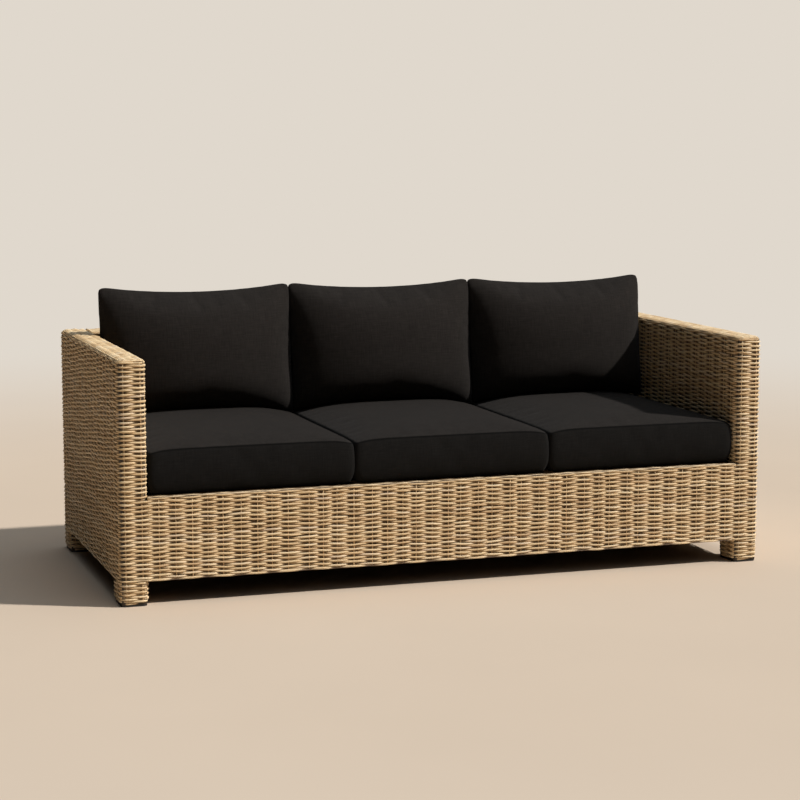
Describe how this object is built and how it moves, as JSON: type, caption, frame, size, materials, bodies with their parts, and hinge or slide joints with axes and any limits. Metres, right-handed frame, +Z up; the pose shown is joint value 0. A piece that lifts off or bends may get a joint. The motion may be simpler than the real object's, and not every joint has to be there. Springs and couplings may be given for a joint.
{
  "type": "garden sofa",
  "caption": "Rattan garden sofa: woven panels over a tube frame, arms as high as the back, short legs, strap seat deck, loose boxed seat cushions and soft back cushions.",
  "frame": {"origin": "on the ground, under the middle of the sofa's plan", "axes": "+X along the seat to the right as seen from the front, +Y to the back, +Z up"},
  "size_m": [2, 0.92, 0.8422],
  "materials": {
    "wicker": "satin",
    "frame": "satin",
    "bolts": "satin",
    "glides": "matte",
    "webbing": "matte",
    "cushion_fabric": "matte"
  },
  "bodies": {
    "frame": {"back_frame": "frame", "back_wicker": "wicker", "front_apron_wicker": "wicker", "left_arm_frame": "frame", "left_arm_wicker": "wicker", "left_back_to_arm_bolt": "bolts", "left_back_to_seat_bolt": "bolts", "left_front_arm_bolt": "bolts", "left_front_foot_glide": "glides", "left_front_leg_wrap": "wicker", "left_rear_arm_bolt": "bolts", "left_rear_foot_glide": "glides", "left_rear_leg_wrap": "wicker", "right_arm_frame": "frame", "right_arm_wicker": "wicker", "right_back_to_arm_bolt": "bolts", "right_back_to_seat_bolt": "bolts", "right_front_arm_bolt": "bolts", "right_front_foot_glide": "glides", "right_front_leg_wrap": "wicker", "right_rear_arm_bolt": "bolts", "right_rear_foot_glide": "glides", "right_rear_leg_wrap": "wicker", "seat_frame": "frame", "webbing_long_1": "webbing", "webbing_long_2": "webbing", "webbing_long_3": "webbing", "webbing_long_4": "webbing", "webbing_short_1": "webbing", "webbing_short_10": "webbing", "webbing_short_11": "webbing", "webbing_short_12": "webbing", "webbing_short_2": "webbing", "webbing_short_3": "webbing", "webbing_short_4": "webbing", "webbing_short_5": "webbing", "webbing_short_6": "webbing", "webbing_short_7": "webbing", "webbing_short_8": "webbing", "webbing_short_9": "webbing"},
    "left_seat_cushion": {"seat_cushion_left": "cushion_fabric"},
    "left_back_cushion": {"back_cushion_left": "cushion_fabric"},
    "middle_seat_cushion": {"seat_cushion_middle": "cushion_fabric"},
    "middle_back_cushion": {"back_cushion_middle": "cushion_fabric"},
    "right_seat_cushion": {"seat_cushion_right": "cushion_fabric"},
    "right_back_cushion": {"back_cushion_right": "cushion_fabric"}
  },
  "joints": [
    {"name": "left_seat_cushion_lift", "type": "slide", "parent": "frame", "child": "left_seat_cushion", "axis": [0, 0, 1], "range_m": [0, 0.42]},
    {"name": "left_back_cushion_lift", "type": "slide", "parent": "left_seat_cushion", "child": "left_back_cushion", "axis": [0, 0, 1], "range_m": [0, 0.3]},
    {"name": "middle_seat_cushion_lift", "type": "slide", "parent": "frame", "child": "middle_seat_cushion", "axis": [0, 0, 1], "range_m": [0, 0.42]},
    {"name": "middle_back_cushion_lift", "type": "slide", "parent": "middle_seat_cushion", "child": "middle_back_cushion", "axis": [0, 0, 1], "range_m": [0, 0.3]},
    {"name": "right_seat_cushion_lift", "type": "slide", "parent": "frame", "child": "right_seat_cushion", "axis": [0, 0, 1], "range_m": [0, 0.42]},
    {"name": "right_back_cushion_lift", "type": "slide", "parent": "right_seat_cushion", "child": "right_back_cushion", "axis": [0, 0, 1], "range_m": [0, 0.3]}
  ]
}
